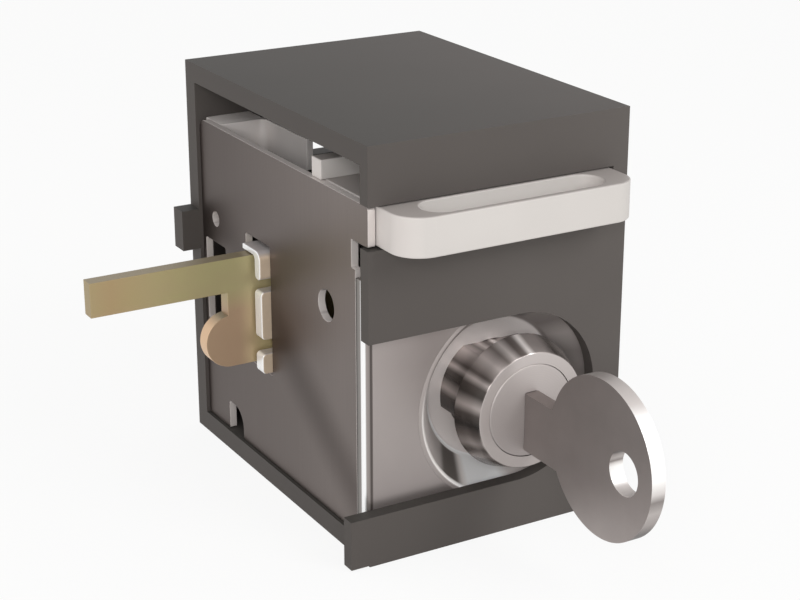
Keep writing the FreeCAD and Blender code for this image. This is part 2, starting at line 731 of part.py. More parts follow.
def make_padlock_slider():
    """The light grey slider: a rounded grip with a slot for the shackle, a flat tail and an upright stop behind."""
    x0 = left + slider_left
    x1 = left + slider_right
    y0 = front - slider_reach
    y1 = front + slider_shoulder
    head = plate([(x0, y0), (x1, y0), (x1, y1), (x0, y1)], [slider_left_round, slider_right_round, 0, 0],
                 "Z", slider_low, slider_high)
    tail_left = left + slider_tail_left
    tail_end = front + slider_length
    tail = block(tail_left, x1, y1, tail_end, slider_low, slider_high)
    pocket = block(tail_left + pocket_side, x1 - pocket_side, front_inner + pocket_front,
                   tail_end - upstand_thick - 1, slider_low - 1, slider_high - pocket_roof)
    stop = block(tail_left, left + upstand_right, tail_end - upstand_thick, tail_end,
                 slider_high, slider_high + upstand_rise)
    half = shackle_slot_width / 2
    slot = long_hole(left + shackle_slot_left + half, left + shackle_slot_right - half, front - shackle_slot_front + half,
                     shackle_slot_width, "Z", slider_low - 1, slider_high + 1)
    body = head.fuse([tail, stop]).cut([pocket, slot]).removeSplitter()
    straight = slider_right - slider_left - slider_left_round - slider_right_round
    edges = [e for e in body.Edges
             if e.BoundBox.YMax < front - 0.5 and e.BoundBox.ZLength < 1e-6 and e.BoundBox.ZMin > slider_high - 1e-3
             and e.BoundBox.YMin < front - slider_reach + 0.05 and e.BoundBox.XLength > straight - 1]
    return body.makeFillet(0.3, edges) if edges else body


def make_plate_screws():
    """Three pan-head screws that hold the lock plate to the front wall, from behind."""
    seat = plate_front + sheet
    screws = [pan_screw(plate_screw / 2, plate_screw_head, plate_screw_head_thick, seat, sheet + plate_screw_bite,
                        (x, z), "Y", -1) for x, z in plate_screw_places()]
    return Part.makeCompound(screws)


def make_bracket_screws():
    """Two pan-head screws that hold the bracket's back flange to the back wall."""
    seat = back_inner - sheet
    screws = [pan_screw(plate_screw / 2, plate_screw_head, plate_screw_head_thick, seat, sheet + back_screw_bite,
                        (left + back_screw_right, z), "Y", 1) for z in (back_screw_low, back_screw_high)]
    return Part.makeCompound(screws)


parts = {
    "housing": make_housing(),
    "side_bracket": make_side_bracket(),
    "rear_yoke": make_rear_yoke(),
    "lock_plate": make_lock_plate(),
    "lever_guide": make_lever_guide(),
    "lock_barrel": make_lock_barrel(),
    "lock_washer": make_lock_washer(),
    "lock_nut": make_lock_nut(),
    "lock_plug": make_lock_plug(),
    "wafers": make_wafers(),
    "plug_clip": make_plug_clip(),
    "drive_cam": make_drive_cam(),
    "crank_pin": make_crank_pin(),
    "cam_screw": make_cam_screw(),
    "cam_washer": make_cam_washer(),
    "key": make_key(),
    "bolt_lever": make_bolt_lever(),
    "guide_stud": make_guide_stud(),
    "padlock_slider": make_padlock_slider(),
    "plate_screws": make_plate_screws(),
    "bracket_screws": make_bracket_screws(),
}

os.makedirs("parts", exist_ok=True)
for name, shape in parts.items():
    shape.exportStep("parts/" + name + ".step")
    print(name, "solids", len(shape.Solids), "valid", shape.isValid(), "volume", round(shape.Volume, 1))
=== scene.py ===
import math

import bmesh
import bpy
import numpy as np
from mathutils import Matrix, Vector


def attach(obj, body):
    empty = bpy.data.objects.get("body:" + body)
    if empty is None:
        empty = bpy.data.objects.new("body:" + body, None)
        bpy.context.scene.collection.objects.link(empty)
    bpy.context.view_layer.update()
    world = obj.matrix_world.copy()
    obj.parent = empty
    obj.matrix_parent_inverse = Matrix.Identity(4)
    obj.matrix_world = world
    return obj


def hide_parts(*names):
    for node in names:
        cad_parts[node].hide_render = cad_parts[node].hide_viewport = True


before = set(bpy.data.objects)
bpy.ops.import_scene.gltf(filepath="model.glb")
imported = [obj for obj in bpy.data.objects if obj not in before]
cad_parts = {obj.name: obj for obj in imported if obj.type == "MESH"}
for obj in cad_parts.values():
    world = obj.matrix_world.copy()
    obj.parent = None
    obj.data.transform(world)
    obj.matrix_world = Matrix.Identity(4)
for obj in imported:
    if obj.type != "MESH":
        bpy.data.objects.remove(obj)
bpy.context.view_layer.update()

MM = 0.001

# Camera and studio.
# The camera stands in front of the open left side and looks a little down, as the photograph does.
# The room is plain: a white surround, a pale floor that keeps the shadow, and two soft lamps.
CAMERA_AZIMUTH = math.radians(-30.087)
CAMERA_ELEVATION = math.radians(20.268)
CAMERA_PLACE = Vector((-175.31, -303.91, 164.78)) * MM
LENS_PIXELS = 1863.9
PHOTO_WIDTH = 800

camera_data = bpy.data.cameras.new("camera")
camera_data.sensor_width = 36.0
camera_data.lens = LENS_PIXELS * camera_data.sensor_width / PHOTO_WIDTH
camera_data.clip_start = 0.01
camera_data.clip_end = 10.0
camera = bpy.data.objects.new("camera", camera_data)
camera.location = CAMERA_PLACE
camera.rotation_euler = (math.pi / 2 - CAMERA_ELEVATION, 0, CAMERA_AZIMUTH)
bpy.context.scene.collection.objects.link(camera)
bpy.context.scene.camera = camera
bpy.context.scene.view_settings.view_transform = "Standard"


def linear(colour):
    """Turns an sRGB hex colour such as #5f5a56 into the linear values that Blender works in."""
    values = [int(colour[i:i + 2], 16) / 255 for i in (1, 3, 5)]
    return [v / 12.92 if v <= 0.04045 else ((v + 0.055) / 1.055) ** 2.4 for v in values] + [1.0]


def add_node(tree, kind, inputs=None, stops=None, **settings):
    """Adds one shader node, sets its fields and its ramp's stops, and fills its inputs with values or with links."""
    node = tree.nodes.new("ShaderNode" + kind)
    for name, value in settings.items():
        setattr(node, name, value)
    for name, value in (inputs or {}).items():
        if isinstance(value, bpy.types.NodeSocket):
            tree.links.new(value, node.inputs[name])
        else:
            node.inputs[name].default_value = value
    for i, (place, colour) in enumerate(stops or []):
        marks = node.color_ramp.elements
        mark = marks[i] if i < 2 else marks.new(place)
        mark.position = place
        mark.color = linear(colour)
    return node


world = bpy.data.worlds.new("studio")
bpy.context.scene.world = world
world.use_nodes = True
world.node_tree.nodes.clear()
rays = add_node(world.node_tree, "LightPath")
seen = add_node(world.node_tree, "Math", {0: rays.outputs["Is Camera Ray"], 1: rays.outputs["Is Glossy Ray"]},
                operation="MAXIMUM")
seen = add_node(world.node_tree, "Math", {0: seen.outputs[0], 1: rays.outputs["Is Transmission Ray"]},
                operation="MAXIMUM")
ambient = add_node(world.node_tree, "Background", {"Color": linear("#ffffff"), "Strength": 0.64})
surround = add_node(world.node_tree, "Background", {"Color": linear("#ffffff"), "Strength": 1.0})
either = add_node(world.node_tree, "MixShader", {0: seen.outputs[0], 1: ambient.outputs[0], 2: surround.outputs[0]})
add_node(world.node_tree, "OutputWorld", {"Surface": either.outputs[0]})


def add_lamp(name, place_mm, aim_mm, size_mm, watts):
    """A square soft lamp that points from one place to another."""
    data = bpy.data.lights.new(name, "AREA")
    data.size = size_mm * MM
    data.energy = watts
    lamp = bpy.data.objects.new(name, data)
    lamp.location = Vector(place_mm) * MM
    way = Vector(aim_mm) - Vector(place_mm)
    lamp.rotation_euler = way.to_track_quat("-Z", "Y").to_euler()
    bpy.context.scene.collection.objects.link(lamp)


add_lamp("key_lamp", (260, -520, 420), (0, 0, 30), 300, 1.3)
add_lamp("fill_lamp", (-390, -560, 310), (0, 0, 40), 260, 1.7)

floor_mesh = bpy.data.meshes.new("floor")
FLOOR_REACH = 3.0
FLOOR_DROP = 0.05 * MM
floor_corners = [(x * FLOOR_REACH, y * FLOOR_REACH, 0) for x, y in ((-1, -1), (1, -1), (1, 1), (-1, 1))]
floor_mesh.from_pydata(floor_corners, [], [(0, 1, 2, 3)])
floor = bpy.data.objects.new("floor", floor_mesh)
floor.location.z = -FLOOR_DROP
bpy.context.scene.collection.objects.link(floor)
floor_paint = bpy.data.materials.new("pale_floor")
floor_paint.use_nodes = True
tree = floor_paint.node_tree
tree.nodes.clear()
matt = add_node(tree, "BsdfDiffuse", {"Color": linear("#f6f6f4")})
glow = add_node(tree, "Emission", {"Color": linear("#ffffff"), "Strength": 1.0})
rays = add_node(tree, "LightPath")
seen = add_node(tree, "Math", {0: rays.outputs["Is Camera Ray"], 1: rays.outputs["Is Glossy Ray"]},
                operation="MAXIMUM")
share = add_node(tree, "Math", {0: seen.outputs[0], 1: 0.88}, operation="MULTIPLY")
mixed = add_node(tree, "MixShader", {0: share.outputs[0], 1: matt.outputs[0], 2: glow.outputs[0]})
add_node(tree, "OutputMaterial", {"Surface": mixed.outputs[0]})
floor_mesh.materials.append(floor_paint)

# Housing.
# One moulding in matt dark grey plastic, with the fine spark-eroded grain of its mould.
# The grain is drawn at 0.35 mm so that it just shows, and the colour drifts a little over the walls; painted light
# makes the walls lighter to the right and the faces that look up darker.
LEFT = -27.5
FRONT = -37.8


def new_material(name, **values):
    """A node material: its shader with plain values, the place in millimetres and the split object normal."""
    made = bpy.data.materials.new(name)
    made.use_nodes = True
    nodes = made.node_tree
    nodes.nodes.clear()
    shader = add_node(nodes, "BsdfPrincipled", {key.replace("_", " "): value for key, value in values.items()})
    add_node(nodes, "OutputMaterial", {"Surface": shader.outputs[0]})
    here = add_node(nodes, "TexCoord")
    place = add_node(nodes, "VectorMath", {0: here.outputs["Object"], 1: (1 / MM, 1 / MM, 1 / MM)},
                     operation="MULTIPLY")
    facing = add_node(nodes, "SeparateXYZ", {0: here.outputs["Normal"]})
    return made, nodes, shader, place.outputs[0], facing


def dress(material, *names):
    """Gives a material to CAD nodes."""
    for name in names:
        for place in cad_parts[name].material_slots:
            place.material = material


def tones_along(nodes, value, start, end, stops):
    """Colours along a value: its run from start to end is laid over the stops' 0 to 1."""
    run = add_node(nodes, "MapRange", {"Value": value, "From Min": start, "From Max": end})
    return add_node(nodes, "ValToRGB", {"Fac": run.outputs[0]}, stops=stops).outputs[0]


def mottled(nodes, place, tone, scale, detail, low, high):
    """A tone that drifts softly: it is multiplied by noise that runs from low to high."""
    drift = add_node(nodes, "TexNoise", {"Vector": place, "Scale": scale, "Detail": detail})
    shade = add_node(nodes, "MapRange", {"Value": drift.outputs["Fac"], "From Min": 0.3, "From Max": 0.7,
                                         "To Min": low, "To Max": high})
    return add_node(nodes, "VectorMath", {0: tone, "Scale": shade.outputs[0]}, operation="SCALE").outputs[0]


plastic, nodes, shader, place, facing = new_material("moulded_dark_plastic", Roughness=0.6, IOR=1.46,
                                                     Specular_IOR_Level=0.25)
split = add_node(nodes, "SeparateXYZ", {0: place})
# Painted light: the walls and the roof are lighter towards the right, and faces that look up take the darker roof
# tones as painted shade.
wall = tones_along(nodes, split.outputs["X"], -28.0, 27.0, [(0.0, "#514c49"), (1.0, "#585350")])
roof = tones_along(nodes, split.outputs["X"], -28.0, 27.0, [(0.0, "#413e3b"), (1.0, "#514c49")])
upward = add_node(nodes, "MapRange", {"Value": facing.outputs["Z"], "From Min": 0.4, "From Max": 0.8})
tone = add_node(nodes, "Mix", {0: upward.outputs[0], 6: wall, 7: roof}, data_type="RGBA")
nodes.links.new(mottled(nodes, place, tone.outputs[2], 0.03, 2.0, 0.96, 1.04), shader.inputs["Base Color"])
grain = add_node(nodes, "TexNoise", {"Vector": place, "Scale": 2.8, "Detail": 3.0})
relief = add_node(nodes, "Bump", {"Height": grain.outputs["Fac"], "Strength": 0.08, "Distance": 0.05 * MM})
nodes.links.new(relief.outputs[0], shader.inputs["Normal"])
dress(plastic, "housing")

# Side bracket.
# Cold-rolled steel sheet, zinc plated and dulled, blanked and folded once; its cut faces that look forward or up are
# painted nearly silver as a highlight.
# Its flat face is grey with broad painted shades of light: darker towards the back, lighter towards the front and the
# top.


def rounded(points, radii, steps=16):
    """Corners turned to arcs: an arc's centre lies on the corner's bisector, its radius over the half angle's sine."""
    loop = []
    for i, corner in enumerate(points):
        corner = np.array(corner, float)
        back, ahead = (np.array(points[j % len(points)], float) - corner for j in (i - 1, i + 1))
        back, ahead = back / np.linalg.norm(back), ahead / np.linalg.norm(ahead)
        if radii[i] == 0:
            loop.append(corner[None, :])
            continue
        half = math.acos(np.clip(back @ ahead, -1, 1)) / 2
        centre = corner + (back + ahead) / np.linalg.norm(back + ahead) * radii[i] / math.sin(half)
        start, end = (corner + way * radii[i] / math.tan(half) - centre for way in (back, ahead))
        first, last = math.atan2(start[1], start[0]), math.atan2(end[1], end[0])
        turn = (last - first + math.pi) % (2 * math.pi) - math.pi
        angle = first + turn * np.linspace(0, 1, steps + 1)
        loop.append(centre + radii[i] * np.column_stack([np.cos(angle), np.sin(angle)]))
    return np.vstack(loop)


def circle(u, v, radius, steps=56):
    """A round outline: centre plus radius times the cosine and the sine."""
    angle = np.arange(steps) * 2 * math.pi / steps
    return np.column_stack([u + radius * np.cos(angle), v + radius * np.sin(angle)])


def finish_mesh(name, mesh, crease):
    """Merges doubles, points the faces outwards, shades smooth below the crease angle and makes the object."""
    work = bmesh.new()
    work.from_mesh(mesh)
    bmesh.ops.remove_doubles(work, verts=work.verts, dist=1e-7)
    bmesh.ops.recalc_face_normals(work, faces=work.faces)
    work.to_mesh(mesh)
    work.free()
    mesh.shade_smooth()
    mesh.set_sharp_from_angle(angle=math.radians(crease))
    made = bpy.data.objects.new(name, mesh)
    bpy.context.scene.collection.objects.link(made)
    return made


def flat_piece(name, material, outline, holes, normal, low, high, edge=0.12):
    """A flat outline with holes, from low to high along an axis, its edges broken by a small round."""
    curve = bpy.data.curves.new(name, "CURVE")
    curve.dimensions = "2D"
    curve.fill_mode = "BOTH"
    curve.extrude = (high - low) / 2 - edge
    curve.bevel_depth = edge
    curve.bevel_resolution = 2
    curve.offset = -edge
    for loop in [outline] + list(holes):
        spline = curve.splines.new("POLY")
        spline.points.add(len(loop) - 1)
        spline.points.foreach_set("co", np.column_stack([loop, np.zeros(len(loop)), np.ones(len(loop))]).ravel())
        spline.use_cyclic_u = True
    holder = bpy.data.objects.new(name, curve)
    bpy.context.scene.collection.objects.link(holder)
    mesh = bpy.data.meshes.new_from_object(holder.evaluated_get(bpy.context.evaluated_depsgraph_get()))
    bpy.data.objects.remove(holder)
    co = np.empty(len(mesh.vertices) * 3)
    mesh.vertices.foreach_get("co", co)
    u, v, w = co.reshape(-1, 3).T
    middle = (low + high) / 2
    columns = {"X": (w + middle, u, v), "Y": (u, middle - w, v), "Z": (u, v, w + middle)}[normal]
    mesh.vertices.foreach_set("co", (np.column_stack(columns) * MM).ravel())
    mesh.materials.clear()
    mesh.materials.append(material)
    return finish_mesh(name, mesh, 8)


steel, nodes, shader, place, facing = new_material("rolled_steel_sheet", Roughness=0.45)
split = add_node(nodes, "SeparateXYZ", {0: place})
# Painted light: the flat face is darker towards the back and lighter towards the front, more so in its upper half.
low_half = tones_along(nodes, split.outputs["Y"], 34.0, -36.0,
                       [(0.0, "#5c534f"), (1.0, "#766d69"), (0.14, "#5e5551"), (0.586, "#69605c"),
                        (0.857, "#766d69")])
high_half = tones_along(nodes, split.outputs["Y"], 34.0, -36.0,
                        [(0.0, "#59504c"), (1.0, "#827975"), (0.17, "#5b524e"), (0.557, "#6f6662"),
                         (0.857, "#7f7672")])
lean = add_node(nodes, "MapRange", {"Value": split.outputs["Z"], "From Min": 20.0, "From Max": 62.0})
plain = add_node(nodes, "Mix", {0: lean.outputs[0], 6: low_half, 7: high_half}, data_type="RGBA").outputs[2]

# Painted dark reflection: a darker band leans across the sheet, where y less BAND_SLOPE times z lies between -34 and
# -65 mm.
# It fades out towards the sheet's top.
BAND_SLOPE = 1.47
slope = add_node(nodes, "Math", {0: split.outputs["Z"], 1: BAND_SLOPE}, operation="MULTIPLY")
slant = add_node(nodes, "Math", {0: split.outputs["Y"], 1: slope.outputs[0]}, operation="SUBTRACT")
over_band = add_node(nodes, "MapRange", {"Value": slant.outputs[0], "From Min": -34.0, "From Max": -65.0})
band = add_node(nodes, "ValToRGB", {"Fac": over_band.outputs[0]},
                stops=[(0.0, "#ffffff"), (1.0, "#ffffff"), (0.5, "#cac5c3")])
band.color_ramp.interpolation = "EASE"
banded = add_node(nodes, "Mix", {0: 1.0, 6: plain, 7: band.outputs[0]}, data_type="RGBA", blend_type="MULTIPLY")
below = add_node(nodes, "MapRange", {"Value": split.outputs["Z"], "From Min": 58.0, "From Max": 40.0})
tone = add_node(nodes, "Mix", {0: below.outputs[0], 6: plain, 7: banded.outputs[2]}, data_type="RGBA")
rolled = add_node(nodes, "VectorMath", {0: place, 1: (2.2, 2.2, 0.04)}, operation="MULTIPLY")
tone = mottled(nodes, rolled.outputs[0], tone.outputs[2], 1.0, 3.0, 0.975, 1.025)
# Painted highlight: faces that look forward or up, the sheet's cut faces, are painted nearly silver and made less
# metallic.
forward = add_node(nodes, "MapRange", {"Value": facing.outputs["Y"], "From Min": -0.4, "From Max": -0.8})
upward = add_node(nodes, "MapRange", {"Value": facing.outputs["Z"], "From Min": 0.4, "From Max": 0.8})
cut = add_node(nodes, "Math", {0: forward.outputs[0], 1: upward.outputs[0]}, operation="MAXIMUM")
tone = add_node(nodes, "Mix", {0: cut.outputs[0], 6: tone, 7: linear("#d9d1cd")}, data_type="RGBA")
nodes.links.new(tone.outputs[2], shader.inputs["Base Color"])
shine = add_node(nodes, "MapRange", {"Value": cut.outputs[0], "To Min": 0.93, "To Max": 0.2})
nodes.links.new(shine.outputs[0], shader.inputs["Metallic"])

# The side sheet's outlines give the way back from the housing's front and the height above its base.
SHEET = 1.5
SIDE_OUTER = LEFT + 0.75
SIDE_INNER = SIDE_OUTER + SHEET
SHEET_FOOT = 4.2
SHEET_TOP = 68.7
SIDE_BACK = 71.4
outline = rounded([(1.4, 61.3), (7.5, 61.3), (7.5, 56.0), (6.1, 56.0), (6.1, SHEET_FOOT), (54.7, SHEET_FOOT),
                   (54.7, 10.4), (61.2, 10.4), (61.2, SHEET_FOOT), (SIDE_BACK, SHEET_FOOT),
                   (SIDE_BACK, SHEET_TOP), (1.4, SHEET_TOP)],
                  [0.4, 0, 0.3, 0.3, 0.3, 0.3, 4.0, 0.5, 0.3, 0.3, 2.4, 1.0])
aperture = rounded([(40.3, 23.4), (51.0, 23.4), (51.0, 50.2), (40.3, 50.2)], [0.5] * 4)
rear_slot = rounded([(60.7, 26.0), (70.0, 26.0), (70.0, 44.0), (60.7, 44.0)], [0.5] * 4)
holes = [aperture, rear_slot, circle(17.3, 45.7, 3.1), circle(64.9, 49.1, 1.6)]
shift = np.array([FRONT, 0.0])
side_sheet = flat_piece("side_sheet", steel, outline + shift, [hole + shift for hole in holes], "X",
                        SIDE_OUTER, SIDE_INNER, edge=0.08)
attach(side_sheet, "frame")
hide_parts("side_bracket")


def clouded(nodes, place, scale, dark, light):
    """A tone that runs from dark to light over soft clouds."""
    haze = add_node(nodes, "TexNoise", {"Vector": place, "Scale": scale, "Detail": 2.0})
    return add_node(nodes, "ValToRGB", {"Fac": haze.outputs["Fac"]}, stops=[(0.3, dark), (0.7, light)]).outputs[0]


# Painted shade: the back flange is the bracket's steel painted darker, as shade inside the housing.
painted_shade_fold_steel, nodes, shader, place, facing = new_material("fold_steel_in_painted_shade", Metallic=0.9, Roughness=0.5)
nodes.links.new(clouded(nodes, place, 0.12, "#464140", "#4f4947"), shader.inputs["Base Color"])
FLANGE_RIGHT = LEFT + 11.75
FLANGE_TOP = 60.0
fold = rounded([(SIDE_INNER, SHEET_FOOT), (FLANGE_RIGHT, SHEET_FOOT), (FLANGE_RIGHT, FLANGE_TOP),
                (SIDE_INNER, FLANGE_TOP)], [0, 2.0, 2.0, 0])
back_flange = flat_piece("back_flange", painted_shade_fold_steel, fold, [], "Y", FRONT + SIDE_BACK - SHEET, FRONT + SIDE_BACK,
                         edge=0.08)
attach(back_flange, "frame")

# Rear yoke.
# A strap of the same sheet, folded twice: a web behind the slider, a cheek that runs forward and a tab to the back.
# It is painted near white, brighter than the bracket, as painted light, because its faces look to the front, where the
# light comes from.
strap_steel, nodes, shader, place, facing = new_material("folded_strap_steel", Roughness=0.5, Metallic=0.15)
# Painted light: the same sheet as the bracket, painted near white.
nodes.links.new(clouded(nodes, place, 0.12, "#efe8e4", "#f8f1ed"), shader.inputs["Base Color"])
corner = np.array([LEFT, FRONT])
STRAP_LEFT = 2.25
STRAP_HEIGHT = 6.3
WEB_FRONT = 64.4
CHEEK_LEFT = 12.0
CHEEK_FRONT = 46.0
strap = rounded([(STRAP_LEFT, WEB_FRONT), (CHEEK_LEFT, WEB_FRONT), (CHEEK_LEFT, CHEEK_FRONT),
                 (CHEEK_LEFT + SHEET, CHEEK_FRONT), (CHEEK_LEFT + SHEET, WEB_FRONT + SHEET),
                 (STRAP_LEFT, WEB_FRONT + SHEET)], [0, 1.5, 0.2, 0.2, 3.0, 0])
web = flat_piece("yoke_strap", strap_steel, strap + corner, [], "Z", SHEET_TOP - STRAP_HEIGHT, SHEET_TOP)
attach(web, "frame")
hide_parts("rear_yoke")
tab = rounded([(STRAP_LEFT, WEB_FRONT + SHEET), (CHEEK_LEFT, WEB_FRONT + SHEET), (CHEEK_LEFT, SIDE_BACK),
               (STRAP_LEFT, SIDE_BACK)], [0, 0.3, 0.3, 0.3])
yoke_tab = flat_piece("yoke_tab", strap_steel, tab + corner, [], "Z", SHEET_TOP - SHEET, SHEET_TOP)
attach(yoke_tab, "frame")

# Lock plate with its bead and its cup.
# Zinc-plated sheet in the front window, painted brighter than the bracket as painted light: its left edge is rolled
# round, and the cup is drawn and polished.
# Its colour is painted light too, from light at the top to darker at the foot; bends and the cup's wall hold painted
# reflections in streaks of black and white.
LOCK_X = LEFT + 32.1
LOCK_Z = 25.9
SHEET_FRONT = FRONT + 2.8

front_steel, nodes, shader, place, facing = new_material("satin_front_steel", Metallic=0.75, Roughness=0.34)
split = add_node(nodes, "SeparateXYZ", {0: place})
# Painted light: the sheet is lighter at the top and darker at the foot.
plate_stops = [(0.0, "#918987"), (1.0, "#b3aaa7"), (0.45, "#a29a97")]
tone = tones_along(nodes, split.outputs["Z"], 4.0, 48.0, plate_stops)
nodes.links.new(mottled(nodes, place, tone, 0.1, 2.0, 0.98, 1.02), shader.inputs["Base Color"])

bead_steel, nodes, shader, place, facing = new_material("rolled_bead_steel", Metallic=0.7, Roughness=0.3)
split = add_node(nodes, "SeparateXYZ", {0: place})
round_way = add_node(nodes, "Math", {0: split.outputs["X"], 1: split.outputs["Y"]}, operation="SUBTRACT")
# Painted highlight: a white stripe along the middle of the bead's round, with painted dark reflection lines at its two
# edges.
tone = tones_along(nodes, round_way.outputs[0], 5.1, 9.8,
                   [(0.0, "#3f3a37"), (1.0, "#6a625f"), (0.06, "#4d4744"), (0.1, "#77736f"), (0.33, "#8f8a87"),
                    (0.37, "#ffffff"), (0.62, "#ffffff"), (0.68, "#a19996"), (0.85, "#8b8380"), (0.91, "#4a4441")])
nodes.links.new(tone, shader.inputs["Base Color"])

plate_shift = np.array([LEFT, 0.0])
PLATE_LEFT = 2.31
PLATE_RIGHT = 52.4
PLATE_TOP = 55.0
CUP_HOLE = 20.2
flat = rounded([(PLATE_LEFT, SHEET_FOOT), (PLATE_RIGHT, SHEET_FOOT), (PLATE_RIGHT, PLATE_TOP),
                (PLATE_LEFT, PLATE_TOP)], [0, 0.3, 0.3, 0])
plate = flat_piece("lock_sheet", front_steel, flat + plate_shift, [circle(LOCK_X, LOCK_Z, CUP_HOLE, 120)], "Y",
                   SHEET_FRONT, SHEET_FRONT + SHEET, edge=0.05)
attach(plate, "frame")
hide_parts("lock_plate")
BEAD_X, BEAD_Y, BEAD_RADIUS = 2.3, 4.35, 1.55
turn = np.radians(np.linspace(180, 270, 19))
bead_front = np.column_stack([BEAD_X + BEAD_RADIUS * np.cos(turn), BEAD_Y + BEAD_RADIUS * np.sin(turn)])
bead_loop = np.vstack([bead_front, [(BEAD_X, 4.3), (2.25, 4.3), (2.25, 5.95), (0.75, 5.95)]])
bead = flat_piece("sheet_bead", bead_steel, bead_loop + corner, [], "Z", SHEET_FOOT, PLATE_TOP - 0.5, edge=0.05)
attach(bead, "frame")


def turned_piece(name, material, profile, radius_at=None, steps=180):
    """A closed loop of radius and depth turned about the lock's axis: x and z are radius times cosine and sine."""
    angle = (np.arange(steps) * 2 * math.pi / steps)[:, None]
    radius, depth = (np.broadcast_to(column, (steps, len(profile))) for column in profile.T)
    if radius_at is not None:
        radius = radius_at(radius, depth, angle)
    points = np.stack([LOCK_X + radius * np.cos(angle), depth, LOCK_Z + radius * np.sin(angle)], axis=-1) * MM
    index = np.arange(steps * len(profile)).reshape(steps, -1)
    across, around = np.roll(index, -1, axis=1), np.roll(index, -1, axis=0)
    faces = np.stack([index, across, np.roll(around, -1, axis=1), around], axis=-1).reshape(-1, 4)
    mesh = bpy.data.meshes.new(name)
    mesh.from_pydata(points.reshape(-1, 3).tolist(), [], faces.tolist())
    mesh.materials.append(material)
    return finish_mesh(name, mesh, 28)


def turn_about(nodes, split):
    """The turn about the lock's axis, as a share of a full one: the arc tangent of Z over X, over two pi."""
    angle = add_node(nodes, "Math", {0: split.outputs["Z"], 1: split.outputs["X"]}, operation="ARCTAN2")
    angle = add_node(nodes, "Math", {0: angle.outputs[0], 1: 1 / (2 * math.pi)}, operation="MULTIPLY")
    angle = add_node(nodes, "Math", {0: angle.outputs[0], 1: 1.0}, operation="ADD")
    return add_node(nodes, "Math", {0: angle.outputs[0]}, operation="FRACT").outputs[0]


def round_stops(tones):
    """A ramp's stops from tones at degrees, its two ends first, because a new ramp already has them."""
    stops = [(degrees / 360, colour) for degrees, colour in tones]
    return [stops[0], stops[-1]] + stops[1:-1]


cup_steel, nodes, shader, place, facing = new_material("drawn_cup_steel", Roughness=0.45)
centred = add_node(nodes, "VectorMath", {0: place, 1: (LOCK_X, 0.0, LOCK_Z)}, operation="SUBTRACT")
split = add_node(nodes, "SeparateXYZ", {0: centred.outputs[0]})
angle = turn_about(nodes, split)
# Painted reflections: the wall's tones round the axis are black and white streaks, and the rim and the floor's edge
# carry painted white highlights.
wall_tones = [(0, "#9d9592"), (18, "#8b8481"), (34, "#b3aba8"), (48, "#8f8784"), (62, "#a19996"),
              (72, "#4f4a47"), (78, "#e0d8d5"), (84, "#4a4542"), (96, "#3f3b38"), (112, "#97908d"),
              (150, "#c3bbb8"), (190, "#d1c9c6"), (206, "#c4bcb9"), (216, "#b2aba8"), (221, "#635d59"),
              (233, "#625c58"), (238, "#e4deda"), (243, "#ffffff"), (268, "#ffffff"), (276, "#d4ccc9"),
              (290, "#b3aba8"), (330, "#b7afac"), (360, "#9d9592")]
wall = add_node(nodes, "ValToRGB", {"Fac": angle}, stops=round_stops(wall_tones))
rim = add_node(nodes, "ValToRGB", {"Fac": angle},
               stops=[(0.0, "#a8a09d"), (1.0, "#a8a09d"), (0.2, "#8b8380"), (0.36, "#7a7370"), (0.44, "#a39b98"),
                      (0.5, "#f1ece9"), (0.6, "#fbf6f3"), (0.7, "#ffffff"), (0.8, "#d8d1ce")])
floor_edge = add_node(nodes, "ValToRGB", {"Fac": angle},
                      stops=[(0.0, "#8f8784"), (1.0, "#8f8784"), (0.4, "#a59d9a"), (0.48, "#cfc8c5"),
                             (0.54, "#ffffff"), (0.7, "#ffffff"), (0.8, "#b0a8a5")])
# Painted light: the cup's floor is painted near white, a little lighter towards the top.
base = tones_along(nodes, split.outputs["Z"], -12.0, 13.0, [(0.0, "#d8d0cd"), (1.0, "#e6dedb")])
depth = add_node(nodes, "Math", {0: split.outputs["Y"], 1: SHEET_FRONT}, operation="SUBTRACT")
past_rim = add_node(nodes, "MapRange", {"Value": depth.outputs[0], "From Min": 0.25, "From Max": 0.6})
past_wall = add_node(nodes, "MapRange", {"Value": depth.outputs[0], "From Min": 6.3, "From Max": 6.6})
on_floor = add_node(nodes, "MapRange", {"Value": depth.outputs[0], "From Min": 7.05, "From Max": 7.17})
tone = add_node(nodes, "Mix", {0: past_rim.outputs[0], 6: rim.outputs[0], 7: wall.outputs[0]}, data_type="RGBA")
tone = add_node(nodes, "Mix", {0: past_wall.outputs[0], 6: tone.outputs[2], 7: floor_edge.outputs[0]},
                data_type="RGBA")
tone = add_node(nodes, "Mix", {0: on_floor.outputs[0], 6: tone.outputs[2], 7: base}, data_type="RGBA")
flat_part = add_node(nodes, "MapRange", {"Value": depth.outputs[0], "From Min": 0.0, "From Max": 0.04})
# The flat part takes the sheet's painted light, lighter at the top.
sheet_tone = tones_along(nodes, split.outputs["Z"], 4.0 - LOCK_Z, 48.0 - LOCK_Z, plate_stops)
tone = add_node(nodes, "Mix", {0: flat_part.outputs[0], 6: sheet_tone, 7: tone.outputs[2]}, data_type="RGBA")
nodes.links.new(tone.outputs[2], shader.inputs["Base Color"])
inside = add_node(nodes, "Math", {0: past_rim.outputs[0], 1: on_floor.outputs[0]}, operation="SUBTRACT")
shine = add_node(nodes, "MapRange", {"Value": inside.outputs[0], "To Min": 0.25, "To Max": 0.1})
nodes.links.new(shine.outputs[0], shader.inputs["Metallic"])

# The turned outlines give the distance from the lock's axis and the way back from the housing's front.
from_front = np.array([0.0, FRONT])
cup_loop = rounded([(20.19, 2.8), (19.1, 2.8), (14.1, 10.0), (9.55, 10.0), (9.55, 11.5), (15.0, 11.5),
                    (20.0, 4.3), (20.19, 4.3)], [0, 1.0, 1.0, 0.1, 0.1, 1.0, 0, 0], steps=7) + from_front
cup = turned_piece("lock_cup", cup_steel, cup_loop)
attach(cup, "frame")
